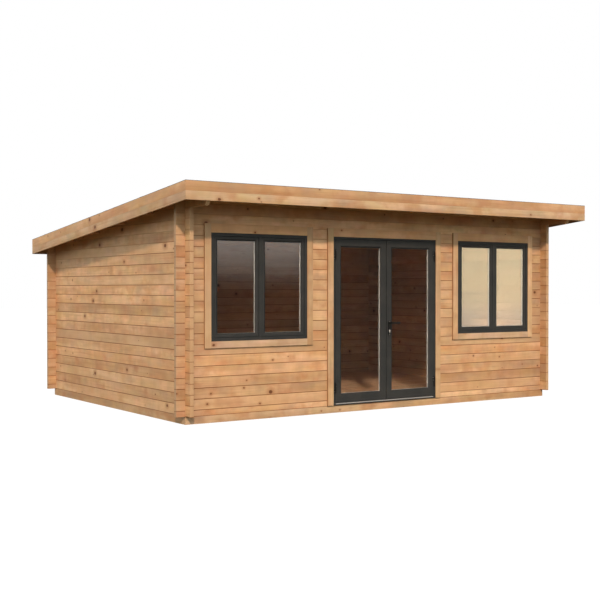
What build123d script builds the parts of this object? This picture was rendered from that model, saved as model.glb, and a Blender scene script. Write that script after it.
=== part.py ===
from build123d import *

import os
from math import ceil, floor

# Garden office pod: a pent-roof cabin of interlocking tongue-and-groove logs, in millimetres.
# The front faces -Y, +Z is up, and the origin is on the ground under the middle of the roof.

# Cabin
house_depth = 3740  # outer face to outer face of the front and back walls
roof_fall = 417  # drop of the roof from its front edge to its back edge
head_height = 482  # heads of the door and windows up to the roof's front edge
pier_width = 362  # logs between the door and a window
corner_width = 298  # logs between a window and the outer face of a side wall
eave_front = 490
eave_back = 150
eave_side = 250

# Logs
log_thickness = 44
log_course = 114
log_end = 105  # how far the log ends run past the crossing wall
log_chamfer = 4  # along the lower outer edge, the line between two courses
tongue_width = 14
tongue_height = 9
tongue_side_play = 0.5
tongue_top_play = 1
notch_share = 0.25  # depth of each corner notch in a log, from above and from below
bracket_cut_run = 40  # slanted end of the logs that carry the front eave
bracket_cut_rise = 51

# Base and floor
sill_height = 85
sill_width = 70
joist_width = 45
joist_spacing = 600
floor_thickness = 19

# Roof
covering_thickness = 4
deck_thickness = 19
fascia_thickness = 20
fascia_upper_height = 100
fascia_lower_height = 90
purlin_width = 58
purlin_height = 120
purlin_count = 4

# Windows
window_width = 1220
window_height = 1147
window_jamb = 35
window_mullion = 38
sash_gap = 3
sash_stile = 37
sash_recess = 4  # face of the sash behind the face of the frame

# Doors
door_width = 1530
door_height = 1920
door_jamb = 22
door_sill = 13
threshold_thickness = 9
leaf_side_gap = 5
leaf_foot_gap = 5
leaf_meeting_gap = 8
leaf_stile = 80
leaf_top_rail = 83
leaf_bottom_rail = 99
leaf_stop_gap = 5

# Shared joinery
frame_proud = 18  # frames and leaves in front of the log face
leaf_thickness = 44
stop_width = 14  # how far a stop reaches behind its sash or leaf
unit_thickness = 24  # sealed double glazing
sheet_thickness = 4

# Trim boards round the openings
trim_thickness = 22
trim_side = 78
trim_top = 96
trim_bottom = 72
inside_trim_lap = 10

# Door furniture
plate_width = 34
plate_height = 177
plate_thickness = 8
plate_level = 950
lever_level = 1010
lever_height = 18
lever_thickness = 12
lever_reach = 48
lever_length = 118
lever_bend = 16
cylinder_level = 922
cylinder_radius = 8.5
cylinder_height = 33  # from the top of the round head to the foot of the tail
cylinder_tail = 10
cylinder_stand = 3
cylinder_play = 0.2

# Hinges
hinge_height = 120
hinge_inset = 176  # middle of a hinge from the end of the leaf
barrel_radius = 8
barrel_stand = 1
barrel_gap = 0.3
hinge_plate_width = 18
hinge_plate_thickness = 3

overrun = 50  # how far cuts run past what they cut

# Main planes and levels
house_width = door_width + 2 * (pier_width + window_width + corner_width)
head_level = sill_height + door_height
front_height = head_level + head_height
roof_width = house_width + 2 * eave_side
roof_depth = house_depth + eave_front + eave_back
roof_slope = roof_fall / roof_depth
roof_build = covering_thickness + deck_thickness
front_face = eave_front - roof_depth / 2
back_face = front_face + house_depth
side_face = house_width / 2
floor_top = sill_height + floor_thickness
fascia_back = roof_depth / 2 - fascia_thickness
frame_face = front_face - frame_proud
frame_depth = frame_proud + log_thickness
inner_face = front_face + log_thickness
fascia_height = fascia_upper_height + fascia_lower_height
window_offset = door_width / 2 + pier_width + window_width / 2
window_bottom = head_level - window_height


def roof_level(y, depth=0):
    """Height of the sloping roof at y, measured depth below its top surface."""
    return front_height - roof_slope * (y + roof_depth / 2) - depth


def roof_band(top_depth, bottom_depth, y_low, y_high):
    """Corners, in the YZ plane, of a layer parallel to the roof."""
    return [
        (y_low, roof_level(y_low, top_depth)),
        (y_high, roof_level(y_high, top_depth)),
        (y_high, roof_level(y_high, bottom_depth)),
        (y_low, roof_level(y_low, bottom_depth)),
    ]


def finish(node, label):
    node.label = label
    export_step(node, f"parts/{label}.step")


def log_profile(outward, tongued):
    """Section of one log, its chamfered face outward; between the corners it has a tongue and a groove."""
    face = log_thickness / 2
    chamfered = [(face, log_chamfer), (face - log_chamfer, 0)]
    groove = []
    tongue = []
    if tongued:
        groove_side = tongue_width / 2 + tongue_side_play
        groove_top = tongue_height + tongue_top_play
        groove = [(groove_side, 0), (groove_side, groove_top), (-groove_side, groove_top), (-groove_side, 0)]
        tongue_side = tongue_width / 2
        tongue_top = log_course + tongue_height
        tongue = [
            (-tongue_side, log_course),
            (-tongue_side, tongue_top),
            (tongue_side, tongue_top),
            (tongue_side, log_course),
        ]
    outline = [*chamfered, *groove, (-face, 0), (-face, log_course), *tongue, (face, log_course)]
    return Polygon(*[(outward * x, z) for x, z in outline], align=None)


def rectangles(boxes):
    """Upright rectangles in a sketch, each given as x_low, x_high, z_low, z_high."""
    for x_low, x_high, z_low, z_high in boxes:
        with Locations(((x_low + x_high) / 2, (z_low + z_high) / 2)):
            Rectangle(x_high - x_low, z_high - z_low)


def wall_logs(label, middle, along, outward, ends, crossings, levels, cuts, purlins=(), slant=()):
    """Logs of one wall, one solid for each course or each stretch of a course beside an opening.

    middle is a point of the wall's middle plane, along its direction, ends the places of the log ends.
    crossings are the middles of the two walls that it crosses. There each log is notched from above
    and from below, so that the walls lock together half a course apart.
    """
    up = Vector(0, 0, 1)
    across = up.cross(along)
    places = [(0, level) for level in levels]
    notch = log_course * notch_share
    lower_notches = [(place, level) for level in levels for place in crossings]
    upper_notches = [(place, level + log_course - notch) for place, level in lower_notches]
    inner_start = crossings[0] + log_thickness / 2
    inner_end = crossings[1] - log_thickness / 2
    through = Plane(middle + across * log_thickness, x_dir=along, z_dir=-across)
    with BuildPart() as wall:
        with BuildSketch(Plane(middle + along * inner_start, x_dir=across, z_dir=along)):
            with Locations(*places):
                log_profile(outward, tongued=True)
        extrude(amount=inner_end - inner_start)
        for inner, end in ((inner_start, ends[0]), (inner_end, ends[1])):
            with BuildSketch(Plane(middle + along * inner, x_dir=across, z_dir=along)):
                with Locations(*places):
                    log_profile(outward, tongued=False)
            extrude(amount=end - inner)
        with BuildSketch(through):
            with Locations(*lower_notches, *upper_notches):
                Rectangle(log_thickness, notch, align=(Align.CENTER, Align.MIN))
        extrude(amount=2 * log_thickness, mode=Mode.SUBTRACT)
        with BuildSketch(through):
            rectangles(cuts)
            if purlins:
                with Locations(*purlins):
                    Rectangle(purlin_width, purlin_height + overrun, align=(Align.CENTER, Align.MIN))
            if slant:
                Polygon(*slant, align=None)
        extrude(amount=2 * log_thickness, mode=Mode.SUBTRACT)
        with BuildSketch(Plane.YZ.offset(-roof_width / 2)):
            reach = roof_depth / 2 + overrun
            Polygon(*roof_band(-front_height, roof_build, -reach, reach), align=None)
        extrude(amount=roof_width, mode=Mode.SUBTRACT)
    finish(wall.part, label)


os.makedirs("parts", exist_ok=True)

# Sill beams, flush with the outer faces of the walls
with BuildPart() as sill_beams_long:
    sill_middle = house_depth / 2 - sill_width / 2
    with BuildSketch():
        with Locations((0, front_face + house_depth / 2)):
            with GridLocations(0, 2 * sill_middle, 1, 2):
                Rectangle(house_width, sill_width)
    extrude(amount=sill_height)
finish(sill_beams_long.part, "sill_beams_front_back")

with BuildPart() as sill_beams_short:
    with BuildSketch():
        with Locations((0, front_face + house_depth / 2)):
            with GridLocations(house_width - sill_width, 0, 2, 1):
                Rectangle(sill_width, house_depth - 2 * sill_width)
    extrude(amount=sill_height)
finish(sill_beams_short.part, "sill_beams_sides")

# Floor
joist_room = house_width - 2 * sill_width
joist_count = floor(joist_room / joist_spacing)
with BuildPart() as floor_joists:
    with BuildSketch():
        with Locations((0, front_face + house_depth / 2)):
            with GridLocations(joist_room / (joist_count + 1), 0, joist_count, 1):
                Rectangle(joist_width, house_depth - 2 * sill_width)
    extrude(amount=sill_height)
finish(floor_joists.part, "floor_joists")

with BuildPart() as floor_deck:
    with BuildSketch(Plane.XY.offset(sill_height)):
        with Locations((0, front_face + house_depth / 2)):
            Rectangle(house_width - 2 * log_thickness, house_depth - 2 * log_thickness)
    extrude(amount=floor_thickness)
finish(floor_deck.part, "floor_deck")

# Log walls: the front and back start with half a log, the sides with a whole one
below_sill = (-roof_width, roof_width, -log_course, sill_height)
door_hole = (-door_width / 2, door_width / 2, 0, head_level)
window_holes = [
    (middle - window_width / 2, middle + window_width / 2, window_bottom, head_level)
    for middle in (-window_offset, window_offset)
]


def course_levels(base, parity, y):
    """Lower edges of every second log from base up, as far as the roof at y leaves more than a splinter."""
    top = roof_level(y, roof_build) - log_chamfer - tongue_height
    count = ceil((top - base) / log_course)
    return [base + course * log_course for course in range(parity, count, 2)]


for name, wall_y, outward, holes in (
    ("front_wall", front_face + log_thickness / 2, -1, [door_hole, *window_holes]),
    ("back_wall", back_face - log_thickness / 2, 1, []),
):
    for parity, half in ((0, "lower"), (1, "upper")):
        wall_logs(
            f"{name}_logs_{half}",
            Vector(0, wall_y, 0),
            Vector(1, 0, 0),
            outward,
            (-side_face - log_end, side_face + log_end),
            (log_thickness / 2 - side_face, side_face - log_thickness / 2),
            course_levels(sill_height - log_course / 2, parity, wall_y),
            [below_sill, *holes],
        )

# Side walls: their top logs run on under the front eave, and the purlins pass through them
fascia_bottom = roof_level(-roof_depth / 2, covering_thickness + fascia_height)
bracket_level = sill_height + log_course * floor((fascia_bottom - sill_height) / log_course)
eave_gap = (-roof_depth, front_face - log_end, 0, bracket_level)
bracket_slant = [
    (-fascia_back, bracket_level),
    (-fascia_back + bracket_cut_run, bracket_level),
    (-fascia_back, bracket_level + bracket_cut_rise),
]
purlin_spacing = (house_depth - log_thickness) / (purlin_count + 1)
purlin_places = [
    front_face + log_thickness / 2 + purlin_spacing * (place + 1) for place in range(purlin_count)
]
purlin_feet = [(y, roof_level(y, roof_build + purlin_height)) for y in purlin_places]

for side, name in ((-1, "left_wall"), (1, "right_wall")):
    for parity, half in ((0, "lower"), (1, "upper")):
        wall_logs(
            f"{name}_logs_{half}",
            Vector(side * (side_face - log_thickness / 2), 0, 0),
            Vector(0, 1, 0),
            -side,
            (-fascia_back, back_face + log_end),
            (front_face + log_thickness / 2, back_face - log_thickness / 2),
            course_levels(sill_height, parity, -fascia_back),
            [below_sill, eave_gap],
            purlin_feet,
            bracket_slant,
        )

# Roof
with BuildPart() as roof_purlins:
    with BuildSketch(Plane.YZ.offset(fascia_thickness - roof_width / 2)):
        with Locations(*purlin_feet):
            Rectangle(purlin_width, purlin_height + overrun, align=(Align.CENTER, Align.MIN))
    extrude(amount=roof_width - 2 * fascia_thickness)
    with BuildSketch(Plane.YZ.offset(-roof_width / 2)):
        Polygon(*roof_band(-front_height, roof_build, -roof_depth / 2, roof_depth / 2), align=None)
    extrude(amount=roof_width, mode=Mode.SUBTRACT)
finish(roof_purlins.part, "roof_purlins")

with BuildPart() as roof_deck:
    with BuildSketch(Plane.YZ):
        Polygon(*roof_band(covering_thickness, roof_build, -fascia_back, fascia_back), align=None)
    extrude(amount=roof_width / 2 - fascia_thickness, both=True)
finish(roof_deck.part, "roof_deck")

with BuildPart() as roof_covering:
    with BuildSketch(Plane.YZ):
        Polygon(*roof_band(0, covering_thickness, -roof_depth / 2, roof_depth / 2), align=None)
    extrude(amount=roof_width / 2, both=True)
finish(roof_covering.part, "roof_covering")


def fascia_boards(label, along_front, top_depth, bottom_depth):
    """A facing pair of fascia boards, mitred at the corners, in a layer parallel to the roof."""
    outer_x = roof_width / 2
    outer_y = roof_depth / 2
    inner_x = outer_x - fascia_thickness
    inner_y = outer_y - fascia_thickness
    if along_front:
        corners = [(-outer_x, -outer_y), (outer_x, -outer_y), (inner_x, -inner_y), (-inner_x, -inner_y)]
        about = Plane.XZ
    else:
        corners = [(-outer_x, -outer_y), (-inner_x, -inner_y), (-inner_x, inner_y), (-outer_x, outer_y)]
        about = Plane.YZ
    with BuildPart() as boards:
        with BuildSketch():
            Polygon(*corners, align=None)
            mirror(about=about)
        extrude(amount=front_height)
        with BuildSketch(Plane.YZ):
            Polygon(*roof_band(top_depth, bottom_depth, -outer_y, outer_y), align=None)
        extrude(amount=outer_x, both=True, mode=Mode.INTERSECT)
    finish(boards.part, label)


upper_depth = covering_thickness + fascia_upper_height
for along_front, name in ((True, "front_back"), (False, "sides")):
    fascia_boards(f"fascia_upper_{name}", along_front, covering_thickness, upper_depth)
    fascia_boards(f"fascia_lower_{name}", along_front, upper_depth, upper_depth + fascia_lower_height)

# Trim boards round the windows and the door, outside and inside
def trim_boards(name, back, lap, door_foot):
    """Uprights beside each opening, and the rails between them above and below it."""
    uprights = []
    rails = []
    for x_low, x_high, z_low, z_high in (*window_holes, door_hole):
        is_door = z_low < sill_height
        foot = door_foot if is_door else z_low - trim_bottom
        head = z_high + trim_top
        uprights.append((x_low + lap - trim_side, x_low + lap, foot, head))
        uprights.append((x_high - lap, x_high - lap + trim_side, foot, head))
        rails.append((x_low + lap, x_high - lap, z_high - lap, head))
        if not is_door:
            rails.append((x_low + lap, x_high - lap, foot, z_low + lap))
    for boxes, kind in ((uprights, "uprights"), (rails, "rails")):
        with BuildPart() as boards:
            with BuildSketch(Plane((0, back, 0), x_dir=(1, 0, 0), z_dir=(0, -1, 0))):
                rectangles(boxes)
            extrude(amount=trim_thickness)
        finish(boards.part, f"{name}_{kind}")


trim_boards("outside_trim", front_face, 0, sill_height)
trim_boards("inside_trim", inner_face + trim_thickness, inside_trim_lap, floor_top)


def lock_outline(places, play, mode=Mode.ADD):
    """Lock cylinders in a sketch, each a round head at its place with a narrower tail below it."""
    tail_radius = cylinder_tail / 2 + play
    tail_drop = cylinder_height - cylinder_radius - cylinder_tail / 2
    with Locations(*places):
        Circle(cylinder_radius + play, mode=mode)
    with Locations(*[(x, z - tail_drop) for x, z in places]):
        Circle(tail_radius, mode=mode)
        Rectangle(2 * tail_radius, tail_drop, align=(Align.CENTER, Align.MIN), mode=mode)


def glazed_frames(label, outlines, holes, face, lock_bores=()):
    """Sashes or a leaf: frames whose glazing holes have bevelled beads on both sides."""
    front = Plane((0, face, 0), x_dir=(1, 0, 0), z_dir=(0, -1, 0))
    bead_depth = (leaf_thickness - unit_thickness) / 2
    with BuildPart() as frames:
        with BuildSketch(front):
            rectangles(outlines)
        extrude(amount=-leaf_thickness)
        with BuildSketch(front):
            rectangles(holes)
        extrude(amount=-leaf_thickness, mode=Mode.SUBTRACT)
        for face_y in (face, face + leaf_thickness):
            face_edges = frames.edges().filter_by_position(Axis.Y, face_y, face_y)
            for x_low, x_high, z_low, z_high in holes:
                hole_edges = face_edges.filter_by_position(Axis.X, x_low, x_high)
                chamfer(hole_edges.filter_by_position(Axis.Z, z_low, z_high), length=bead_depth)
        if lock_bores:
            with BuildSketch(front):
                lock_outline(lock_bores, cylinder_play)
            extrude(amount=-leaf_thickness, mode=Mode.SUBTRACT)
    finish(frames.part, label)


def panes(label, holes, face):
    """Sealed glazing units in the holes: two sheets of glass, in the middle of the frame's thickness."""
    recess = (leaf_thickness - unit_thickness) / 2
    with BuildPart() as glass:
        for depth in (recess, leaf_thickness - recess - sheet_thickness):
            with BuildSketch(Plane((0, face + depth, 0), x_dir=(1, 0, 0), z_dir=(0, -1, 0))):
                rectangles(holes)
            extrude(amount=-sheet_thickness)
    finish(glass.part, label)


def inset(box, side, bottom, top):
    x_low, x_high, z_low, z_high = box
    return (x_low + side, x_high - side, z_low + bottom, z_high - top)


# Windows: a fixed frame with a mullion, two sashes against its stops, and a pane in each
for outside, name in zip(window_holes, ("left_window", "right_window")):
    x_middle = (outside[0] + outside[1]) / 2
    clear = inset(outside, window_jamb, window_jamb, window_jamb)
    sash_rooms = [
        (clear[0], x_middle - window_mullion / 2, clear[2], clear[3]),
        (x_middle + window_mullion / 2, clear[1], clear[2], clear[3]),
    ]
    stop_holes = [inset(room, stop_width, stop_width, stop_width) for room in sash_rooms]
    sashes = [inset(room, sash_gap, sash_gap, sash_gap) for room in sash_rooms]
    glazing = [inset(sash, sash_stile, sash_stile, sash_stile) for sash in sashes]
    sash_face = frame_face + sash_recess
    front_plane = Plane((0, frame_face, 0), x_dir=(1, 0, 0), z_dir=(0, -1, 0))
    with BuildPart() as window_frame:
        with BuildSketch(front_plane):
            rectangles([outside])
        extrude(amount=-frame_depth)
        with BuildSketch(front_plane):
            rectangles(stop_holes)
        extrude(amount=-frame_depth, mode=Mode.SUBTRACT)
        with BuildSketch(front_plane):
            rectangles(sash_rooms)
        extrude(amount=-(sash_recess + leaf_thickness), mode=Mode.SUBTRACT)
    finish(window_frame.part, f"{name}_frame")
    glazed_frames(f"{name}_sashes", sashes, glazing, sash_face)
    panes(f"{name}_panes", glazing, sash_face)

# Door frame with its stops, and the threshold strip
door_outside = (-door_width / 2, door_width / 2, sill_height, head_level)
door_room = (
    -door_width / 2 + door_jamb,
    door_width / 2 - door_jamb,
    sill_height + door_sill,
    head_level - door_jamb,
)
door_clear = inset(door_room, stop_width, 0, stop_width)
with BuildPart() as door_frame:
    front_plane = Plane((0, frame_face, 0), x_dir=(1, 0, 0), z_dir=(0, -1, 0))
    with BuildSketch(front_plane):
        rectangles([door_outside])
    extrude(amount=-frame_depth)
    with BuildSketch(front_plane):
        rectangles([door_clear])
    extrude(amount=-frame_depth, mode=Mode.SUBTRACT)
    with BuildSketch(front_plane):
        rectangles([door_room])
    extrude(amount=-(leaf_thickness + leaf_stop_gap), mode=Mode.SUBTRACT)
finish(door_frame.part, "door_frame")

with BuildPart() as door_threshold:
    with BuildSketch(Plane.XY.offset(door_room[2])):
        with Locations((0, frame_face)):
            Rectangle(door_clear[1] - door_clear[0], frame_depth, align=(Align.CENTER, Align.MIN))
    extrude(amount=threshold_thickness)
finish(door_threshold.part, "door_threshold")

# Door leaves
leaf_foot = door_room[2] + threshold_thickness + leaf_foot_gap
leaf_head = door_room[3] - leaf_side_gap
leaf_outer = door_room[1] - leaf_side_gap
leaf_inner = leaf_meeting_gap / 2
lock_x = leaf_inner + leaf_stile / 2


def mirrored(box, side):
    """The box of a piece on the right, or its mirror image on the left."""
    x_low, x_high, z_low, z_high = box
    return box if side > 0 else (-x_high, -x_low, z_low, z_high)


for side, name in ((-1, "left_leaf"), (1, "right_leaf")):
    leaf = mirrored((leaf_inner, leaf_outer, leaf_foot, leaf_head), side)
    glazing = [inset(leaf, leaf_stile, leaf_bottom_rail, leaf_top_rail)]
    lock_bores = [(lock_x, cylinder_level)] if side > 0 else []
    glazed_frames(f"{name}_frame", [leaf], glazing, frame_face, lock_bores)
    panes(f"{name}_pane", glazing, frame_face)

# Lever handles on the meeting stile of the right leaf, and the lock cylinder between them
for face_y, outward, name in (
    (frame_face, -1, "lever_handle_outside"),
    (frame_face + leaf_thickness, 1, "lever_handle_inside"),
):
    stile_face = Plane((lock_x, face_y, 0), x_dir=(-outward, 0, 0), z_dir=(0, outward, 0))
    with BuildPart() as lever_handle:
        with BuildSketch(stile_face):
            with Locations((0, plate_level)):
                RectangleRounded(plate_width, plate_height, plate_width / 3)
            lock_outline([(0, cylinder_level)], cylinder_play, Mode.SUBTRACT)
        extrude(amount=plate_thickness)
        with BuildSketch(Plane.XY.offset(lever_level - lever_height / 2)):
            with BuildLine():
                neck = (lock_x, face_y + outward * plate_thickness / 2)
                elbow = (lock_x, face_y + outward * (plate_thickness + lever_reach))
                tip = (lock_x + lever_length, elbow[1])
                FilletPolyline(neck, elbow, tip, radius=lever_bend)
            trace(line_width=lever_thickness)
        extrude(amount=lever_height)
    finish(lever_handle.part, name)

with BuildPart() as lock_cylinder:
    cylinder_start = frame_face - plate_thickness - cylinder_stand
    with BuildSketch(Plane((0, cylinder_start, 0), x_dir=(1, 0, 0), z_dir=(0, -1, 0))):
        lock_outline([(lock_x, cylinder_level)], 0)
    extrude(amount=-(leaf_thickness + 2 * (plate_thickness + cylinder_stand)))
finish(lock_cylinder.part, "lock_cylinder")

# Hinges: the lower knuckle is on the frame, the upper one on the leaf
hinge_x = door_room[1] - leaf_side_gap / 2
hinge_y = frame_face - barrel_stand - barrel_radius
knuckle = hinge_height / 2 - barrel_gap / 2
for side, name in ((-1, "left_hinges"), (1, "right_hinges")):
    for on_leaf, part_name in ((False, "frame_side"), (True, "leaf_side")):
        toward = -side if on_leaf else side
        with BuildPart() as hinge_half:
            for middle in (leaf_foot + hinge_inset, leaf_head - hinge_inset):
                base = middle + barrel_gap / 2 if on_leaf else middle - hinge_height / 2
                with BuildSketch(Plane.XY.offset(base)):
                    with Locations((side * hinge_x, hinge_y)):
                        Circle(barrel_radius)
                    with Locations((side * hinge_x + toward * hinge_plate_width / 2, frame_face)):
                        Rectangle(hinge_plate_width, hinge_plate_thickness, align=(Align.CENTER, Align.MAX))
                extrude(amount=knuckle)
        finish(hinge_half.part, f"{name}_{part_name}")
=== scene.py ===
"""Garden office pod: boards, seals, finishes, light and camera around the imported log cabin."""

from math import radians

import bmesh
import bpy
import numpy as np
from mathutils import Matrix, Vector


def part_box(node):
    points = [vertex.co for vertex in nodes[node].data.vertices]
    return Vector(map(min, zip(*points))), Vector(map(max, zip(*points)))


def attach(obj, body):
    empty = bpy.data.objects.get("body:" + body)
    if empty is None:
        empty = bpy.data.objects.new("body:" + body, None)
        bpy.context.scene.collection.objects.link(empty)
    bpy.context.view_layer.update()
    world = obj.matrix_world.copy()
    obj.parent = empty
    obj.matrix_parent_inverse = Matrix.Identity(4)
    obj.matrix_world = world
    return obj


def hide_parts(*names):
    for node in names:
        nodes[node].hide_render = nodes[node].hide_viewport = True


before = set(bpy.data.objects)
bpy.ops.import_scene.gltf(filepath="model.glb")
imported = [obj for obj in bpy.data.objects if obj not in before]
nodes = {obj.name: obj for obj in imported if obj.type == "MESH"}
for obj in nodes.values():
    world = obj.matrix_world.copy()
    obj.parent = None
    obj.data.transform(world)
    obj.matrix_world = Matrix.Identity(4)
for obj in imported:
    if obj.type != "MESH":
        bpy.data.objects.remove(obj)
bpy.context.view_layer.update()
chance = np.random.default_rng(23)

# Sizes in metres of what is added to the cabin
floor_board_width = 0.0905
roof_board_width = 0.0955
board_gap = 0.0006
board_chamfer = 0.0025
sheet_pitch = 0.96
sheet_lap = 0.09
lap_thickness = 0.0022
gasket_width = 0.005
gasket_height = 0.003
spacer_width = 0.0075
seal_width = 0.007
seal_thickness = 0.004
meeting_seal_reach = 0.0055
screw_radius = 0.0042
screw_height = 0.0011
screw_sides = 12
handle_plate_least = 0.004
handle_screw_inset = 0.014
hinge_screw_inset = 0.015
hinge_screw_edge = 0.0055
threshold_screw_inset = 0.06
threshold_screw_count = 6
log_course = 0.114
seam_width = 0.0052
timber_edge = 0.0016
joinery_edge = 0.0018
weld_distance = 0.00002
same_level = 0.001

# Degrees between two faces from which their edge is rounded
sharp_angle = 35

# Lengths in metres over which the timber changes: under the roof plane, where the seams' painted
# groove shade fades out and the rails get a painted warm shade tint, and from the log ends, towards
# which the logs are darker
seam_eave_shade = (0.40, 0.58)
rail_eave_shade = (0.5, 1.0)
end_margin = 0.12
end_reach = 0.35

# Knots: the stretch of a board that one may fall in, and the largest radius
big_knot = (0.43, 0.0220)
small_knot = (0.23, 0.0095)

# How far light and dark patches depart from the middle tone: on logs and trim, and on the fascia
timber_tones = 0.24
fascia_tones = 0.14

# Stains: pale wood, warm wood, late wood, reddish flush and greyish flush
tan_stain = (
    (0.760, 0.495, 0.272),
    (0.600, 0.350, 0.172),
    (0.400, 0.200, 0.085),
    (0.560, 0.262, 0.110),
    (0.500, 0.350, 0.210),
)
trim_stain = (
    (0.670, 0.456, 0.258),
    (0.575, 0.364, 0.190),
    (0.393, 0.207, 0.094),
    (0.517, 0.273, 0.125),
    (0.537, 0.369, 0.212),
)


def tinted(stain, red, green, blue):
    """A stain with the red, green and blue of each of its colours multiplied."""
    return tuple((red * tone[0], green * tone[1], blue * tone[2]) for tone in stain)


upper_board_stain = tinted(tan_stain, 1.00, 0.985, 0.975)
lower_board_stain = tinted(tan_stain, 0.825, 0.88, 0.945)
sill_stain = tinted(tan_stain, 0.89, 0.93, 0.97)
floor_stain = tinted(tan_stain, 1.04, 1.07, 1.25)
rail_stain = tinted(trim_stain, 1.00, 1.09, 1.28)

# Tints that multiply a stain, and colours that cover it
end_grain = (0.90, 0.93, 0.97)
# Log faces darker towards the log ends
log_end_tint = (0.86, 0.89, 0.96)
# Fascia boards: lighter and bluer towards the top, darker towards the foot
fascia_top_tint = (1.06, 1.09, 1.13)
foot_tint = (0.94, 0.92, 0.89)
# Painted warm shade tint for the rails up under the eave, and none below
eave_shade_tint = (1.20, 1.00, 0.78)
plain_tint = (1.0, 1.0, 1.0)
hue_base = (0.90, 0.88, 0.80)
hue_range = (0.20, 0.24, 0.40)
knot_heart = (0.120, 0.036, 0.011)
knot_halo = (0.36, 0.150, 0.058)
# Darker sawn flanks: a darker stain, and painted shade along the trim's edges
flank_stain_and_shade = (0.240, 0.105, 0.038)
# Colour of the dark joint at the foot of each log, also painted shade of the groove between logs
seam_and_groove_shade = (0.235, 0.078, 0.015)

# Reading the frame


def node_points(name):
    """All corner points of a CAD node, as rows of x, y, z."""
    mesh = nodes[name].data
    points = np.empty(len(mesh.vertices) * 3)
    mesh.vertices.foreach_get("co", points)
    return points.reshape(-1, 3)


def levels(name, axis):
    """The different values that a node's corners have along one axis, in rising order."""
    return np.unique(np.round(node_points(name)[:, axis], 5))


roof_top = node_points("roof_covering")
front_edge, back_edge = roof_top[:, 1].min(), roof_top[:, 1].max()
eave_level = roof_top[roof_top[:, 1] < front_edge + same_level, 2].max()
rear_level = roof_top[roof_top[:, 1] > back_edge - same_level, 2].max()
roof_slope = (eave_level - rear_level) / (back_edge - front_edge)
roof_plane = eave_level + roof_slope * front_edge


def below_roof(name):
    """How far under the roof plane a node begins and ends: plane - (z + slope * y)."""
    points = node_points(name)
    drop = roof_plane - points[:, 2] - roof_slope * points[:, 1]
    return float(drop.min()), float(drop.max())


# Computed surfaces


def put_in_scene(name, data):
    """A new object at the origin, in the scene."""
    made = bpy.data.objects.new(name, data)
    bpy.context.scene.collection.objects.link(made)
    return made


def add_piece(name, points, faces, body, replaced=()):
    """A mesh at the origin from rows of points and lists of corners, riding on a body of the cabin."""
    mesh = bpy.data.meshes.new(name)
    mesh.from_pydata(points.reshape(-1, 3).tolist(), [], faces)
    shell = bmesh.new()
    shell.from_mesh(mesh)
    bmesh.ops.recalc_face_normals(shell, faces=shell.faces)
    shell.to_mesh(mesh)
    shell.free()
    piece = put_in_scene(name, mesh)
    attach(piece, body)
    if replaced:
        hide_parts(*replaced)
    return piece


def tag_boards(piece, count):
    """Gives each of the equal boards in a piece its own number, for the tone of its wood."""
    per_board = len(piece.data.vertices) // count
    numbers = np.repeat(np.arange(count, dtype=float), per_board)
    piece.data.attributes.new("board", "FLOAT", "POINT").data.foreach_set("value", numbers)


def prisms(section, starts, along, across, up):
    """Straight bars: point = start + along * s + across * a + up * h, with s 0 or 1 and a, h round a section.

    starts and along have a row for each bar, or one row for all. section has a row for each corner. section,
    across and up are the same for all bars.
    """
    starts, along = np.broadcast_arrays(np.atleast_2d(starts), np.atleast_2d(along))
    section = np.asarray(section, dtype=float)
    count, corners = len(starts), len(section)
    around = section[:, :1] * np.asarray(across) + section[:, 1:] * np.asarray(up)
    ends = np.stack([starts, starts + along], axis=1)
    points = ends[:, :, None, :] + around
    here = np.arange(corners)
    after = (here + 1) % corners
    sides = np.stack([here, after, after + corners, here + corners], axis=1)
    first = np.arange(count) * 2 * corners
    walls = (first[:, None, None] + sides).reshape(-1, 4)
    caps = (first[:, None, None] + np.stack([here[::-1], here + corners])).reshape(-1, corners)
    return points, walls.tolist() + caps.tolist()


def rings(boxes, profile):
    """Closed rectangular rings: a profile of (inset, y) points carried round the four corners of each box.

    The corner with signs sx, sz stands at the middle plus
    (sx * (half width - inset), y, sz * (half height - inset)).
    """
    boxes = np.asarray(boxes, dtype=float)
    profile = np.asarray(profile, dtype=float)
    signs = np.array([(-1, -1), (1, -1), (1, 1), (-1, 1)])
    middle_x, middle_z = boxes[:, :2].mean(axis=1), boxes[:, 2:].mean(axis=1)
    half_x, half_z = np.ptp(boxes[:, :2], axis=1) / 2, np.ptp(boxes[:, 2:], axis=1) / 2
    inset, depth = profile.T
    x = middle_x[:, None, None] + signs[:, :1] * (half_x[:, None, None] - inset)
    z = middle_z[:, None, None] + signs[:, 1:] * (half_z[:, None, None] - inset)
    points = np.stack([x, np.broadcast_to(depth, x.shape), z], axis=-1)
    corner, place = np.divmod(np.arange(4 * len(profile)), len(profile))
    next_corner, next_place = (corner + 1) % 4, (place + 1) % len(profile)
    quads = np.stack(
        [
            corner * len(profile) + place,
            next_corner * len(profile) + place,
            next_corner * len(profile) + next_place,
            corner * len(profile) + next_place,
        ],
        axis=1,
    )
    first = np.arange(len(boxes)) * 4 * len(profile)
    return points, (first[:, None, None] + quads).reshape(-1, 4).tolist()


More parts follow.
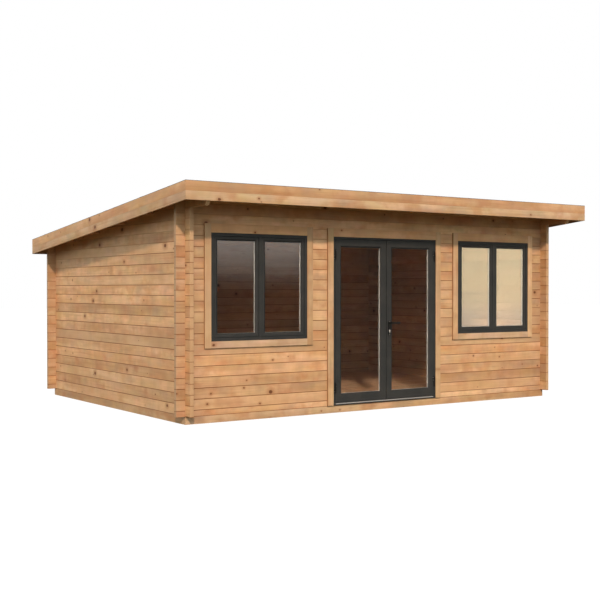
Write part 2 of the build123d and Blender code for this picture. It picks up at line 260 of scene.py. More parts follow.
def screw_heads(centres, outward):
    """Domed heads: at angle t and step k the radius is r * cos(k) and the height h * sin(k) along outward."""
    outward = np.asarray(outward, dtype=float)
    sideways = np.array([outward[2], outward[0], outward[1]])
    upward = np.cross(outward, sideways)
    turn = np.linspace(0, 2 * np.pi, screw_sides, endpoint=False)
    rise = np.array([0, 0.5, 1.1])
    radius = screw_radius * np.cos(rise)[:, None, None]
    rim = np.cos(turn)[:, None] * sideways + np.sin(turn)[:, None] * upward
    head = radius * rim + screw_height * np.sin(rise)[:, None, None] * outward
    points = np.asarray(centres)[:, None, None, :] + head
    here = np.arange(screw_sides)
    after = (here + 1) % screw_sides
    band = np.stack([here, after, after + screw_sides, here + screw_sides], axis=1)
    bands = np.concatenate([band + screw_sides * step for step in range(len(rise) - 1)])
    first = np.arange(len(points)) * len(rise) * screw_sides
    walls = (first[:, None, None] + bands).reshape(-1, 4)
    top = here + (len(rise) - 1) * screw_sides
    caps = (first[:, None, None] + np.stack([here[::-1], top])).reshape(-1, screw_sides)
    return points, walls.tolist() + caps.tolist()


# Pieces


def lay_floor():
    """Floor boards along X with butt joints over the joists, in place of the plain floor sheet."""
    low, high = (np.array(corner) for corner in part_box("floor_deck"))
    rows = round((high[1] - low[1]) / floor_board_width)
    width = (high[1] - low[1]) / rows
    joist_edges = levels("floor_joists", 0)
    joists = (joist_edges[::2] + joist_edges[1::2]) / 2
    first_joint = chance.integers(1, 4, rows)
    second_joint = first_joint + chance.integers(2, 4, rows)
    cuts = np.stack(
        [np.full(rows, low[0]), joists[first_joint], joists[second_joint], np.full(rows, high[0])], axis=1
    )
    row_y = low[1] + width * np.arange(rows)
    begin = cuts[:, :-1].ravel() + board_gap
    length = np.diff(cuts, axis=1).ravel() - 2 * board_gap
    y = np.repeat(row_y, 3)
    starts = np.stack([begin, y, np.full_like(y, high[2])], axis=1)
    along = np.stack([length, 0 * y, 0 * y], axis=1)
    depth = high[2] - low[2]
    near, far = board_gap, width - board_gap
    section = [
        (near, -depth),
        (far, -depth),
        (far, -board_chamfer),
        (far - board_chamfer, 0),
        (near + board_chamfer, 0),
        (near, -board_chamfer),
    ]
    points, faces = prisms(section, starts, along, (0, 1, 0), (0, 0, 1))
    floor = add_piece("floor_boards", points, faces, "cabin", ["floor_deck"])
    tag_boards(floor, len(starts))
    return floor


def lay_roof_boards():
    """Roof boards down the slope, with V joints on their underside, in place of the plain roof deck."""
    points = node_points("roof_deck")
    low, high = points.min(axis=0), points.max(axis=0)
    underside = points[points[:, 1] < low[1] + same_level, 2].min()
    thickness = high[2] - underside
    count = round((high[0] - low[0]) / roof_board_width)
    width = (high[0] - low[0]) / count
    x = low[0] + width * np.arange(count)
    starts = np.stack([x, np.full(count, low[1]), np.full(count, underside)], axis=1)
    run = high[1] - low[1]
    near, far = board_gap, width - board_gap
    vee = 2 * board_chamfer
    section = [(near, vee), (near + vee, 0), (far - vee, 0), (far, vee), (far, thickness), (near, thickness)]
    points, faces = prisms(section, starts, (0, run, -roof_slope * run), (1, 0, 0), (0, 0, 1))
    boards = add_piece("roof_boards", points, faces, "cabin", ["roof_deck"])
    tag_boards(boards, count)
    return boards


def lay_roof_laps():
    """Raised edges where each sheet of the roof covering laps over the next one down the slope."""
    low, high = roof_top.min(axis=0), roof_top.max(axis=0)
    y = np.arange(low[1] + sheet_pitch, high[1] - sheet_lap, sheet_pitch)
    starts = np.stack([np.full_like(y, low[0]), y, eave_level - roof_slope * (y - low[1])], axis=1)
    section = [(0, 0), (sheet_lap, 0), (sheet_lap, lap_thickness), (lap_thickness, lap_thickness / 3)]
    across = (0, 1, -roof_slope)
    points, faces = prisms(section, starts, (high[0] - low[0], 0, 0), across, (0, 0, 1))
    return add_piece("roof_covering_laps", points, faces, "cabin")


def glaze(name, panes, body):
    """Gaskets against the outer and inner faces of the panes, and the spacer bars between the two sheets."""
    x, y, z = (levels(panes, axis) for axis in range(3))
    boxes = [(left, right, z[0], z[-1]) for left, right in zip(x[::2], x[1::2])]
    outer_crest, inner_crest = y[0] - gasket_height, y[-1] + gasket_height
    outer = [(0, y[0]), (0, outer_crest), (gasket_width / 2, outer_crest), (gasket_width, y[0])]
    inner = [(0, y[-1]), (0, inner_crest), (gasket_width / 2, inner_crest), (gasket_width, y[-1])]
    spacer = [(0, y[1]), (spacer_width, y[1]), (spacer_width, y[2]), (0, y[2])]
    made = []
    for part, profile in (("gaskets_outside", outer), ("gaskets_inside", inner), ("spacers", spacer)):
        points, faces = rings(boxes, profile)
        made.append(add_piece(f"{name}_{part}", points, faces, body))
    return made[:2], made[2:]


def fit_door_seals():
    """Rubber strips on the door frame's stops, and a lip on the right leaf that covers the meeting gap."""
    leaf_low, leaf_high = (np.array(corner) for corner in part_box("right_leaf_frame"))
    frame_depths = levels("door_frame", 1)
    frame_widths = levels("door_frame", 0)
    frame_heights = levels("door_frame", 2)
    stop_face = frame_depths[frame_depths > leaf_high[1]][0]
    stop_edge = frame_widths[frame_widths > 0][0]
    stop_head = frame_heights[frame_heights < leaf_high[2]][-1]
    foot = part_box("door_threshold")[1][2]
    height = stop_head - foot + seal_width
    section = [
        (0, 0),
        (seal_width, 0),
        (seal_width, -seal_thickness / 2),
        (seal_width / 2, -seal_thickness),
        (0, -seal_thickness / 2),
    ]
    sides = [(stop_edge, stop_face, foot), (-stop_edge - seal_width, stop_face, foot)]
    points, faces = prisms(section, sides, (0, 0, height), (1, 0, 0), (0, 1, 0))
    made = [add_piece("door_seals_sides", points, faces, "cabin")]
    head = (-stop_edge, stop_face, stop_head)
    points, faces = prisms(section, head, (2 * stop_edge, 0, 0), (0, 0, 1), (0, 1, 0))
    made.append(add_piece("door_seal_head", points, faces, "cabin"))
    middle = (leaf_low[1] + leaf_high[1]) / 2
    lip = [
        (0, -seal_width),
        (-meeting_seal_reach, -seal_thickness / 2),
        (-meeting_seal_reach, seal_thickness / 2),
        (0, seal_width),
    ]
    foot = (leaf_low[0], middle, leaf_low[2])
    points, faces = prisms(lip, foot, (0, 0, leaf_high[2] - leaf_low[2]), (1, 0, 0), (0, 1, 0))
    made.append(add_piece("meeting_seal", points, faces, "door_leaf_right"))
    return made


def drive_screws():
    """Screw heads on the outer handle plate, the hinge plates and the threshold."""
    made = []
    plate_low, plate_high = (np.array(corner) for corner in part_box("lever_handle_outside"))
    plate_depths = levels("lever_handle_outside", 1)
    lock_low, lock_high = (np.array(corner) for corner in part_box("lock_cylinder"))
    lock_x = (lock_low[0] + lock_high[0]) / 2
    plate_face = plate_depths[plate_depths < plate_high[1] - handle_plate_least][-1]
    heights = np.array([plate_low[2] + handle_screw_inset, plate_high[2] - handle_screw_inset])
    centres = np.stack([np.full(2, lock_x), np.full(2, plate_face), heights], axis=1)
    points, faces = screw_heads(centres, (0, -1, 0))
    made.append(add_piece("handle_screws", points, faces, "door_leaf_right"))
    for side, leaf in (("left", "door_leaf_left"), ("right", "door_leaf_right")):
        for half, body in (("frame_side", "cabin"), ("leaf_side", leaf)):
            name = f"{side}_hinges_{half}"
            spots = node_points(name)
            from_middle = np.abs(spots[:, 0])
            outer = half == "frame_side"
            rim = from_middle.max() if outer else from_middle.min()
            face_y = spots[np.isclose(from_middle, rim, atol=1e-5), 1].min()
            z = levels(name, 2)
            heights = np.concatenate([z[::2] + hinge_screw_inset, z[1::2] - hinge_screw_inset])
            inward = rim - hinge_screw_edge if outer else rim + hinge_screw_edge
            x = np.sign(spots[:, 0].mean()) * inward
            centres = np.stack([np.full_like(heights, x), np.full_like(heights, face_y), heights], axis=1)
            points, faces = screw_heads(centres, (0, -1, 0))
            made.append(add_piece(f"{name}_screws", points, faces, body))
    low, high = (np.array(corner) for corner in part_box("door_threshold"))
    x = np.linspace(low[0] + threshold_screw_inset, high[0] - threshold_screw_inset, threshold_screw_count)
    centres = np.stack([x, np.full_like(x, (low[1] + high[1]) / 2), np.full_like(x, high[2])], axis=1)
    points, faces = screw_heads(centres, (0, 0, 1))
    made.append(add_piece("threshold_screws", points, faces, "cabin"))
    return made


# Finishes


class Graph:
    """A tree of shader nodes, put together by short calls that return sockets."""

    def __init__(self, tree):
        self.tree = tree

    def node(self, kind, *values, **settings):
        """A node of that kind, with its inputs fed in their order."""
        made = self.tree.nodes.new(kind)
        for key, value in settings.items():
            setattr(made, key, value)
        for socket, value in zip(made.inputs, values):
            self.feed(socket, value)
        return made

    def feed(self, socket, value):
        """Links another socket to this one, or sets its value."""
        if isinstance(value, bpy.types.NodeSocket):
            self.tree.links.new(value, socket)
        elif value is not None:
            socket.default_value = value

    def calc(self, operation, *values):
        return self.node("ShaderNodeMath", *values, operation=operation).outputs[0]

    def join(self, x, y, z):
        return self.node("ShaderNodeCombineXYZ", x, y, z).outputs[0]

    def split(self, vector):
        return list(self.node("ShaderNodeSeparateXYZ", vector).outputs)

    def noise(self, vector, detail=2.0, roughness=0.5, output="Fac"):
        made = self.node("ShaderNodeTexNoise")
        self.feed(made.inputs["Vector"], vector)
        made.inputs["Scale"].default_value = 1.0
        made.inputs["Detail"].default_value = detail
        made.inputs["Roughness"].default_value = roughness
        return made.outputs[output]

    def random(self, vector):
        """Three draws from 0 to 1, the same wherever the vector is the same."""
        made = self.node("ShaderNodeTexWhiteNoise", vector, noise_dimensions="3D")
        return list(self.node("ShaderNodeSeparateColor", made.outputs["Color"]).outputs)

    def fade(self, value, start, end, low=0.0, high=1.0):
        """A smooth change from low at start to high at end."""
        made = self.node("ShaderNodeMapRange", value, start, end, low, high, interpolation_type="SMOOTHSTEP")
        return made.outputs[0]

    def scale(self, value, low, high):
        """A value from 0 to 1, moved to lie between low and high."""
        return self.node("ShaderNodeMapRange", value, 0.0, 1.0, low, high).outputs[0]

    def blend(self, share, first, second, mode="MIX"):
        made = self.node("ShaderNodeMix", data_type="RGBA", blend_type=mode)
        colours = [socket for socket in made.inputs if socket.type == "RGBA"]
        self.feed(made.inputs["Factor"], share)
        self.feed(colours[0], first)
        self.feed(colours[1], second)
        return [socket for socket in made.outputs if socket.type == "RGBA"][0]

    def seen_directly(self, path):
        """1 for a ray from the camera, also through glass, that has met no other surface."""
        bounces = self.calc("ADD", path["Glossy Depth"], path["Diffuse Depth"])
        straight = self.calc("LESS_THAN", bounces, 0.5)
        clear = self.calc("MAXIMUM", path["Is Camera Ray"], path["Is Transmission Ray"])
        return self.calc("MULTIPLY", clear, straight)


class Finish(Graph):
    """A material with a Principled surface, and the object's own coordinates to draw its pattern with."""

    def __init__(self, name):
        self.material = bpy.data.materials.new(name)
        self.material.use_nodes = True
        super().__init__(self.material.node_tree)
        self.surface = self.tree.nodes["Principled BSDF"]
        self.output = self.tree.nodes["Material Output"]
        place = self.node("ShaderNodeTexCoord")
        self.axes = self.split(place.outputs["Object"])
        self.facing = self.split(place.outputs["Normal"])

    def spread(self, *amounts):
        """The coordinates times an amount for each axis, or one for all."""
        amounts = amounts * 3 if len(amounts) == 1 else amounts
        return self.join(*[self.calc("MULTIPLY", axis, amount) for axis, amount in zip(self.axes, amounts)])

    def bump(self, height, distance, strength=1.0):
        made = self.node("ShaderNodeBump")
        made.inputs["Strength"].default_value = strength
        made.inputs["Distance"].default_value = distance
        self.feed(made.inputs["Height"], height)
        self.feed(self.surface.inputs["Normal"], made.outputs["Normal"])

    def set(self, **values):
        for key, value in values.items():
            self.feed(self.surface.inputs[key.replace("_", " ")], value)
        return self.material


def colour(red, green, blue):
    return (red, green, blue, 1.0)


def softwood(
    name,
    grain,
    seed,
    board,
    rows=(0.0, log_course),
    stain=tan_stain,
    slope=0.0,
    seam=None,
    knots=0.085,
    face=None,
    end_darkening=None,
    tones=timber_tones,
    height_tints=None,
):
    """Planed, stained softwood: streaks and growth lines along the grain, blotches, knots and end grain.

    grain is the axis of the fibres. board is (axis, base, pitch), which numbers the boards, or None where
    they carry their own number. rows is the base and pitch of the strips that knots fall in. slope is how
    much the grain drops a metre. seam is the width of the dark line at the foot of each strip, a dark joint
    with painted shade of the groove, faint up under the eave where the sun doesn't reach. knots is the
    share of places that have one. face is the axis that the planed face looks along, where the sawn flanks
    beside it are darker: a darker stain, and painted shade along the edges. end_darkening is how far from
    the middle a log is darker towards its ends. tones is how far light and dark patches depart from the
    middle tone. height_tints is the beginning and end of a span under the roof plane, and the tints above
    and below it; on the rails the tint above is a painted warm shade.
    """
    finish = Finish(name)
    calc, join, noise, fade, blend = finish.calc, finish.join, finish.noise, finish.fade, finish.blend
    axes = list(finish.axes)
    along = axes.pop(grain)
    side, across = axes
    if slope:
        across = calc("MULTIPLY_ADD", along, slope, across)
    if board:
        number = calc("FLOOR", calc("DIVIDE", calc("SUBTRACT", finish.axes[board[0]], board[1]), board[2]))
    else:
        number = finish.node("ShaderNodeAttribute", attribute_name="board").outputs["Fac"]
    of_board = finish.random(join(number, seed, 3.7))
    shifted = calc("MULTIPLY_ADD", of_board[0], 41.0, along)
    above_base = calc("SUBTRACT", across, rows[0])
    row = calc("FLOOR", calc("DIVIDE", above_base, rows[1]))
    in_row = calc("SUBTRACT", above_base, calc("MULTIPLY", row, rows[1]))
    ragged = noise(finish.spread(110.0), 2.0)

    def knot_layer(length, size, share, layer):
        """One knot in a share of the cells of that length: distance over radius, and the offset across."""
        cell = calc("FLOOR", calc("DIVIDE", shifted, length))
        draw = finish.random(join(cell, row, seed + layer))
        in_cell = calc("SUBTRACT", shifted, calc("MULTIPLY", cell, length))
        offset_along = calc("SUBTRACT", in_cell, finish.scale(draw[0], 0.2 * length, 0.8 * length))
        offset_across = calc("SUBTRACT", in_row, finish.scale(draw[1], 0.18 * rows[1], 0.82 * rows[1]))
        present = calc("LESS_THAN", calc("FRACT", calc("MULTIPLY", draw[0], 57.3)), share)
        radius = calc("MULTIPLY", finish.scale(draw[2], 0.4 * size, size), calc("MAXIMUM", present, 0.001))
        flat = calc("MULTIPLY", offset_along, 0.8)
        reach = calc("SQRT", calc("ADD", calc("POWER", flat, 2.0), calc("POWER", offset_across, 2.0)))
        reach = calc("MULTIPLY", reach, finish.scale(ragged, 0.55, 1.45))
        return calc("DIVIDE", reach, radius), calc("MULTIPLY", offset_across, present)

    big, big_offset = knot_layer(*big_knot, knots, 0.0)
    small, small_offset = knot_layer(*small_knot, knots, 9.0)
    halo = calc("MAXIMUM", fade(big, 3.4, 0.9), fade(small, 3.4, 0.9))
    sway = noise(join(calc("MULTIPLY", shifted, 1.1), calc("MULTIPLY", across, 5.0), seed))
    bent = calc("ADD", across, calc("MULTIPLY", sway, 0.030))
    for offset in (big_offset, small_offset):
        bent = calc("SUBTRACT", bent, calc("MULTIPLY", calc("MULTIPLY", offset, halo), 0.75))
    depth = calc("ADD", side, calc("MULTIPLY", of_board[1], 2.0))

    def strands(stretch, spread, detail, roughness=0.5, output="Fac"):
        """Noise with so many changes a metre along the grain, and across it."""
        paces = ((shifted, stretch), (bent, spread), (depth, spread))
        drawn = [calc("MULTIPLY", axis, pace) for axis, pace in paces]
        return noise(join(*drawn), detail, roughness, output)

    broad = strands(0.9, 7.0, 2.0)
    streak = strands(1.4, 46.0, 3.0)
    fibre = strands(9.0, 420.0, 2.0)
    figure = strands(4.6, 6.0, 4.0)
    flush = strands(2.8, 6.0, 4.0)
    growth = calc("MULTIPLY_ADD", bent, 900.0, calc("MULTIPLY", streak, 16.0))
    line = fade(calc("SINE", growth), 0.15, 1.0)
    mottle = strands(6.0, 55.0, 3.0)
    band = strands(8.0, 3.0, 4.0, 0.6)
    cloud = strands(2.2, 6.0, 3.0)
    cast = strands(2.8, 7.0, 2.0, output="Color")

    pale, warm, deep, red, grey = (colour(*tint) for tint in stain)
    beige = colour(*[0.5 * (first + second) for first, second in zip(stain[0], stain[4])])
    body = blend(fade(broad, 0.34, 0.66), pale, warm)
    body = blend(fade(figure, 0.48, 0.68, 0.0, 0.60), body, red)
    body = blend(fade(flush, 0.50, 0.70, 0.0, 0.55), body, grey)
    body = blend(fade(streak, 0.48, 0.80, 0.0, 0.38), body, deep)
    body = blend(calc("MULTIPLY", line, 0.18), body, deep)
    body = blend(fade(fibre, 0.35, 0.75, 0.0, 0.20), body, deep)
    lift = calc("MULTIPLY", finish.scale(of_board[2], 0.85, 1.12), finish.scale(mottle, 0.93, 1.07))
    lift = calc("MULTIPLY", lift, finish.scale(cloud, 1.0 - tones, 1.0 + tones))
    lift = calc("MULTIPLY", lift, finish.scale(band, 1.0 - tones, 1.0 + tones))
    hue = finish.node("ShaderNodeVectorMath", cast, hue_range, hue_base, operation="MULTIPLY_ADD")
    body = blend(1.0, body, hue.outputs[0], "MULTIPLY")
    body = blend(1.0, body, finish.node("ShaderNodeCombineColor", lift, lift, lift).outputs[0], "MULTIPLY")
    body = blend(finish.scale(of_board[1], 0.0, 0.22), body, red)
    body = blend(fade(of_board[0], 0.40, 1.0, 0.0, 0.40), body, beige)

    body = blend(calc("MULTIPLY", halo, 0.50), body, colour(*knot_halo))
    for reach in (big, small):
        body = blend(fade(reach, 1.15, 0.65, 0.0, 0.90), body, colour(*knot_heart))

    cut_end = fade(calc("ABSOLUTE", finish.facing[grain]), 0.75, 0.92)
    pith_across = calc("SUBTRACT", in_row, finish.scale(of_board[1], 0.02, 0.09))
    pith_side = calc("ADD", side, finish.scale(of_board[2], -0.03, 0.03))
    from_pith = calc("SQRT", calc("ADD", calc("POWER", pith_across, 2.0), calc("POWER", pith_side, 2.0)))
    years = calc("MULTIPLY_ADD", from_pith, 1500.0, calc("MULTIPLY", broad, 6.0))
    year = fade(calc("SINE", years), -0.2, 1.0)
    sawn = blend(calc("MULTIPLY", year, 0.40), blend(fade(figure, 0.2, 0.8, 0.35, 0.95), pale, warm), deep)
    body = blend(cut_end, body, blend(1.0, sawn, colour(*end_grain), "MULTIPLY"))
    # Darker towards the log ends
    if end_darkening:
        near_end = fade(calc("ABSOLUTE", along), end_darkening - end_reach, end_darkening)
        body = blend(near_end, body, colour(*log_end_tint), "MULTIPLY")
    height = calc("MULTIPLY_ADD", finish.axes[1], roof_slope, finish.axes[2])
    # Tints by height under the roof plane; on the rails a painted warm shade up under the eave
    if height_tints:
        begin, end, above, below = height_tints
        lower = fade(height, roof_plane - begin, roof_plane - end)
        body = blend(1.0, body, blend(lower, colour(*above), colour(*below)), "MULTIPLY")
    # Sawn flanks painted darker: a darker stain, and painted shade along the edges
    if face is not None:
        flank = fade(calc("ABSOLUTE", finish.facing[face]), 0.75, 0.35, 0.0, 0.55)
        body = blend(flank, body, colour(*flank_stain_and_shade))
    # Dark joint at each log's foot with painted groove shade, faint up under the eave where no sun falls
    if seam:
        gap = fade(in_row, 1.6 * seam, 0.8 * seam)
        sun_on_seams = fade(height, roof_plane - seam_eave_shade[0], roof_plane - seam_eave_shade[1])
        gap = calc("MULTIPLY", gap, finish.scale(sun_on_seams, 0.22, 0.94))
        body = blend(gap, body, colour(*seam_and_groove_shade))

    relief = calc("ADD", calc("MULTIPLY", line, -0.5), calc("MULTIPLY", fibre, 0.7))
    relief = calc("ADD", relief, calc("MULTIPLY", halo, 0.8))
    finish.bump(relief, 0.0004, 0.6)
    return finish.set(
        Base_Color=body,
        Roughness=finish.scale(streak, 0.52, 0.74),
        Specular_IOR_Level=0.32,
    )


def paint():
    """Satin anthracite paint: fine orange peel and a little dust in the tone."""
    finish = Finish("anthracite_paint")
    peel = finish.noise(finish.spread(900.0), 2.0)
    cloud = finish.noise(finish.spread(6.0), 3.0)
    dark, light = colour(0.029, 0.0320, 0.0325), colour(0.038, 0.0395, 0.0385)
    tone = finish.blend(finish.fade(cloud, 0.3, 0.7), dark, light)
    finish.bump(peel, 0.00012, 0.5)
    return finish.set(Base_Color=tone, Roughness=finish.scale(cloud, 0.40, 0.52), Specular_IOR_Level=0.18)


def glass():
    """Clear float glass that lets lamps through, with a faint waviness."""
    finish = Finish("clear_glass")
    finish.bump(finish.noise(finish.spread(3.0), 1.0), 0.0004, 0.15)
    finish.set(Base_Color=colour(0.82, 0.84, 0.83), Roughness=0.0, IOR=1.5, Transmission_Weight=1.0)
    path = finish.node("ShaderNodeLightPath")
    through = finish.node("ShaderNodeBsdfTransparent", colour(0.965, 0.97, 0.97))
    mixed = finish.node("ShaderNodeMixShader", path.outputs["Is Shadow Ray"])
    finish.feed(mixed.inputs[1], finish.surface.outputs[0])
    finish.feed(mixed.inputs[2], through.outputs[0])
    finish.feed(finish.output.inputs["Surface"], mixed.outputs[0])
    return finish.material


def metal(name, tint, roughness, stretch, metallic=1.0):
    """Brushed metal: fine scratches, long in the direction where stretch is smallest."""
    finish = Finish(name)
    scratch = finish.noise(finish.spread(*stretch), 3.0, 0.6)
    tone = finish.blend(scratch, colour(*[0.82 * channel for channel in tint]), colour(*tint))
    finish.bump(scratch, 0.00008, 0.5)
    uneven = finish.scale(scratch, roughness, roughness + 0.18)
    return finish.set(Base_Color=tone, Metallic=metallic, Roughness=uneven)


def coating(name, tint, roughness, grain_size, shine=0.5):
    """Coated metal, rubber or roofing sheet: grains of that size in tone, gloss and relief."""
    finish = Finish(name)
    grains = finish.noise(finish.spread(1 / grain_size), 2.0, 0.6)
    patch = finish.noise(finish.spread(2.2), 3.0)
    dull, plain, bright = (colour(*[share * channel for channel in tint]) for share in (0.7, 1.3, 1.7))
    tone = finish.blend(finish.fade(grains, 0.3, 0.7), dull, plain)
    tone = finish.blend(finish.fade(patch, 0.35, 0.75, 0.0, 0.35), tone, bright)
    finish.bump(grains, grain_size * 0.25, 0.5)
    return finish.set(
        Base_Color=tone,
        Roughness=finish.scale(grains, roughness, roughness + 0.15),
        Specular_IOR_Level=shine,
    )


def apply_finish(objects, material):
    for piece in objects:
        piece.data.materials.clear()
        piece.data.materials.append(material)


def round_edges(names, width):
    """Small rounded edges on CAD nodes, after their loose triangles are joined."""
    for name in names:
        weld = nodes[name].modifiers.new("weld", "WELD")
        weld.merge_threshold = weld_distance
        edge = nodes[name].modifiers.new("edge", "BEVEL")
        edge.width = width
        edge.segments = 2
        edge.limit_method = "ANGLE"
        edge.angle_limit = radians(sharp_angle)


floor = lay_floor()
roof_boards = lay_roof_boards()
laps = lay_roof_laps()
gaskets = []
spacers = []
for name, panes, body in (
    ("left_window", "left_window_panes", "cabin"),
    ("right_window", "right_window_panes", "cabin"),
    ("left_leaf", "left_leaf_pane", "door_leaf_left"),
    ("right_leaf", "right_leaf_pane", "door_leaf_right"),
):
    pane_gaskets, pane_spacers = glaze(name, panes, body)
    gaskets += pane_gaskets
    spacers += pane_spacers
seals = fit_door_seals()
screws = drive_screws()

# Timber of each node: grain axis, seed, board numbering, knot strips and other settings
front_base = levels("front_wall_logs_upper", 2)[0]
side_base = levels("left_wall_logs_lower", 2)[0]
across_x, along_y, up_z = 0, 1, 2
sill_rows = (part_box("sill_beams_front_back")[1][2] - 1.2 * seam_width, 2 * log_course)
log_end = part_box("front_wall_logs_lower")[1][0]
for wall, grain, base, wall_seed, end_darkening in (
    ("front_wall", across_x, front_base, 51.0, log_end - end_margin),
    ("back_wall", across_x, front_base, 42.0, log_end - end_margin),
    ("left_wall", along_y, side_base, 151.7, None),
    ("right_wall", along_y, side_base, 44.0, None),
):
    courses = (base, log_course)
    settings = {"rows": courses, "seam": seam_width, "end_darkening": end_darkening}
    logs = softwood(f"{wall}_timber", grain, wall_seed, (up_z, *courses), **settings)
    apply_finish([nodes[f"{wall}_logs_lower"], nodes[f"{wall}_logs_upper"]], logs)
# Fascia boards lighter and bluer at the top, darker at the foot; rails with a painted warm shade up under the
# eave
upper_board_tints = (*below_roof("fascia_upper_front_back"), fascia_top_tint, foot_tint)
lower_board_tints = (*below_roof("fascia_lower_front_back"), fascia_top_tint, foot_tint)
rail_shade_tints = (*rail_eave_shade, eave_shade_tint, plain_tint)
upper_board = {"stain": upper_board_stain, "tones": fascia_tones, "height_tints": upper_board_tints}
lower_board = {"stain": lower_board_stain, "tones": fascia_tones, "height_tints": lower_board_tints}
rail_board = {"stain": rail_stain, "face": along_y, "height_tints": rail_shade_tints}
trim_board = {"stain": trim_stain, "face": along_y}
sill_beam = {"stain": sill_stain, "rows": sill_rows, "seam": seam_width}
for name, grain, seed, board, settings in (
    ("sill_beams_front_back", across_x, 11.0, (along_y, 0.0, 1.0), sill_beam),
    ("sill_beams_sides", along_y, 12.0, (across_x, 0.0, 1.0), {"stain": sill_stain}),
    ("floor_joists", along_y, 13.0, (across_x, 0.0, 0.3), {}),
    ("roof_purlins", across_x, 14.0, (along_y, 0.0, 0.5), {}),
    ("fascia_upper_front_back", across_x, 15.0, (along_y, 0.0, 3.0), upper_board),
    ("fascia_lower_front_back", across_x, 16.0, (along_y, 0.0, 3.0), lower_board),
    ("fascia_upper_sides", along_y, 17.0, (across_x, 0.0, 4.0), {**upper_board, "slope": roof_slope}),
    ("fascia_lower_sides", along_y, 18.0, (across_x, 0.0, 4.0), {**lower_board, "slope": roof_slope}),
    ("outside_trim_uprights", up_z, 64.0, (across_x, 0.0, 0.25), trim_board),
    ("outside_trim_rails", across_x, 20.0, (up_z, 0.0, 0.25), rail_board),
    ("inside_trim_uprights", up_z, 21.0, (across_x, 0.0, 0.25), trim_board),
    ("inside_trim_rails", across_x, 22.0, (up_z, 0.0, 0.25), trim_board),
):
    apply_finish([nodes[name]], softwood(f"{name}_timber", grain, seed, board, **settings))
apply_finish([floor], softwood("floor_board_timber", across_x, 31.0, None, stain=floor_stain))
apply_finish([roof_boards], softwood("roof_board_timber", along_y, 32.0, None))

joinery = [
    "left_window_frame",
    "left_window_sashes",
    "right_window_frame",
    "right_window_sashes",
    "door_frame",
    "left_leaf_frame",
    "right_leaf_frame",
]
apply_finish([nodes[name] for name in joinery], paint())
panes = ["left_window_panes", "right_window_panes", "left_leaf_pane", "right_leaf_pane"]
apply_finish([nodes[name] for name in panes], glass())
aluminium = metal("threshold_aluminium", (0.52, 0.52, 0.51), 0.38, (30.0, 900.0, 900.0), 0.45)
apply_finish([nodes["door_threshold"]], aluminium)
nickel = metal("satin_nickel", (0.86, 0.84, 0.80), 0.34, (700.0, 60.0, 700.0), 0.45)
apply_finish([nodes["lock_cylinder"]], nickel)
ironmongery = ["lever_handle_outside", "lever_handle_inside"]
ironmongery += [f"{side}_hinges_{half}" for side in ("left", "right") for half in ("frame_side", "leaf_side")]
dark_iron = coating("dark_iron", (0.009, 0.010, 0.010), 0.46, 0.0015, 0.15)
apply_finish([nodes[name] for name in ironmongery], dark_iron)
apply_finish([nodes["roof_covering"], laps], coating("roof_sheet", (0.075, 0.075, 0.076), 0.72, 0.0022))
apply_finish(gaskets + seals, coating("seal_rubber", (0.012, 0.012, 0.012), 0.55, 0.0018))
apply_finish(spacers, coating("spacer_bar", (0.35, 0.37, 0.38), 0.40, 0.0030))
apply_finish(screws, metal("screw_steel", (0.55, 0.54, 0.52), 0.3, (300.0, 300.0, 300.0)))

timber_nodes = [
    "sill_beams_front_back",
    "sill_beams_sides",
    "roof_purlins",
    "fascia_upper_front_back",
    "fascia_lower_front_back",
    "fascia_upper_sides",
    "fascia_lower_sides",
    "outside_trim_uprights",
    "outside_trim_rails",
    "inside_trim_uprights",
    "inside_trim_rails",
]
round_edges(timber_nodes, timber_edge)
round_edges(joinery, joinery_edge)

# Floor, light and camera
floor_reach = 60.0
floor_drop = 0.001
sun_strength = 2.46
sun_spread = 3.0
sun_tint = (1.0, 0.775, 0.615)
sun_tilt = 56.73
sun_heading = -29.9
camera_place = (-7.6647, -11.3083, 1.4144)
camera_tilt = 90.0 - 0.625
camera_heading = -33.888
camera_lens = 62.41
camera_sensor = 36.0
camera_reach = 300.0


def studio_floor():
    """A pale floor, white to the camera, that keeps the cabin's shadow and stays out of reflections."""
    corners = np.array([(-1, -1), (1, -1), (1, 1), (-1, 1)]) * floor_reach
    points = np.column_stack([corners, np.full(4, -floor_drop)])
    mesh = bpy.data.meshes.new("studio_floor")
    mesh.from_pydata(points.tolist(), [], [(0, 1, 2, 3)])
    ground = put_in_scene("studio_floor", mesh)
    finish = Finish("studio_floor")
    path = finish.node("ShaderNodeLightPath").outputs
    direct = finish.seen_directly(path)
    pale = finish.blend(direct, colour(0.10, 0.085, 0.045), colour(0.150, 0.158, 0.164))
    finish.set(Base_Color=pale, Roughness=0.9, Specular_IOR_Level=0.0)
    glow = finish.calc("MULTIPLY", direct, 0.90)
    finish.set(Emission_Color=colour(1.0, 1.0, 1.0), Emission_Strength=glow)
    mirrored = finish.calc("GREATER_THAN", path["Glossy Depth"], 0.5)
    mixed = finish.node("ShaderNodeMixShader", mirrored, finish.surface.outputs[0])
    finish.feed(mixed.inputs[2], finish.node("ShaderNodeBsdfTransparent").outputs[0])
    finish.feed(finish.output.inputs["Surface"], mixed.outputs[0])
    ground.data.materials.append(finish.material)


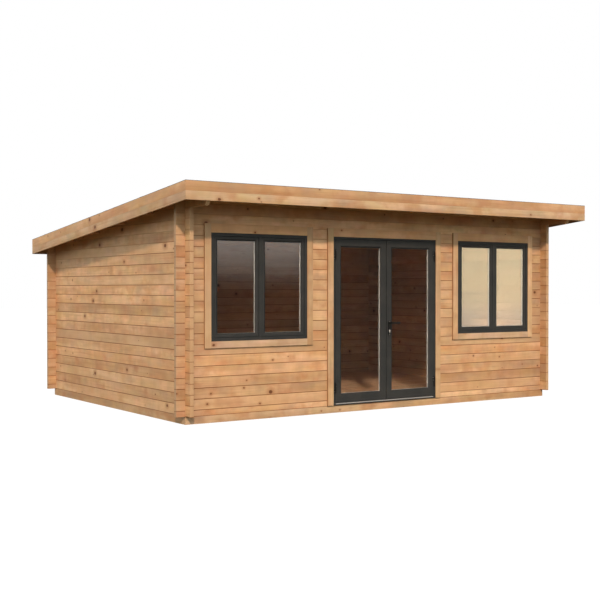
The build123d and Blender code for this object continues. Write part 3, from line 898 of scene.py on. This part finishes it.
def studio_world():
    """White to the camera and straight through glass, a soft sky for light, and cards for reflections.

    The sky is dim at the horizon, brightest some way above it, and dim again overhead. A ray that has met
    a shiny surface sees the surround: near black, with a dim card to the left of the middle and a bright
    warm one to the right. across is x over distance to the front, height the rise.
    """
    world = bpy.data.worlds.new("studio")
    bpy.context.scene.world = world
    world.use_nodes = True
    world.node_tree.nodes.clear()
    graph = Graph(world.node_tree)
    path = graph.node("ShaderNodeLightPath").outputs
    x, y, height = graph.split(graph.node("ShaderNodeTexCoord").outputs["Generated"])
    across = graph.calc("DIVIDE", x, graph.calc("MAXIMUM", graph.calc("MULTIPLY", y, -1.0), 0.05))
    dim_card = graph.calc("MULTIPLY", graph.fade(across, 0.72, 0.66), graph.fade(height, -0.006, 0.055))
    warm_card = graph.calc("MULTIPLY", graph.fade(across, 0.880, 0.905), graph.fade(across, 1.30, 1.12))
    warm_card = graph.calc("MULTIPLY", warm_card, graph.fade(height, 0.11, 0.06))
    warm_tint = graph.blend(graph.fade(height, -0.035, 0.0), colour(3.3, 2.75, 2.15), colour(4.5, 3.55, 2.25))
    bands = graph.noise(graph.join(graph.calc("MULTIPLY", x, 5.0), graph.calc("MULTIPLY", height, 70.0), 0.0))
    warm_tint = graph.blend(graph.fade(bands, 0.55, 0.75, 0.0, 0.4), warm_tint, colour(3.2, 2.7, 2.2))
    surround = graph.blend(dim_card, colour(0.075, 0.074, 0.068), colour(1.35, 1.25, 1.16))
    surround = graph.blend(warm_card, surround, warm_tint)
    shiny = graph.calc("GREATER_THAN", path["Glossy Depth"], 0.5)
    clear = graph.calc("MAXIMUM", path["Is Glossy Ray"], path["Is Transmission Ray"])
    sky = graph.blend(graph.fade(height, 0.02, 0.22), colour(0.45, 0.48, 0.49), colour(1.43, 1.51, 1.52))
    sky = graph.blend(graph.fade(height, 0.35, 0.80), sky, colour(0.35, 0.38, 0.41))
    light = graph.blend(graph.calc("MULTIPLY", shiny, clear), sky, surround)
    light = graph.blend(graph.seen_directly(path), light, colour(1.0, 1.0, 1.0))
    background = graph.node("ShaderNodeBackground", light)
    graph.node("ShaderNodeOutputWorld", background.outputs[0])


def key_light():
    """One soft sun from the front left, above."""
    lamp = bpy.data.lights.new("key_light", "SUN")
    lamp.energy = sun_strength
    lamp.angle = radians(sun_spread)
    lamp.color = sun_tint
    key = put_in_scene("key_light", lamp)
    key.rotation_euler = (radians(sun_tilt), 0.0, radians(sun_heading))


def photo_camera():
    """The camera where the photograph was taken from."""
    lens = bpy.data.cameras.new("photo_camera")
    lens.sensor_width = camera_sensor
    lens.lens = camera_lens
    lens.clip_end = camera_reach
    camera = put_in_scene("photo_camera", lens)
    camera.location = camera_place
    camera.rotation_euler = (radians(camera_tilt), 0.0, radians(camera_heading))
    bpy.context.scene.camera = camera


studio_floor()
studio_world()
key_light()
photo_camera()
bpy.context.scene.view_settings.view_transform = "Standard"
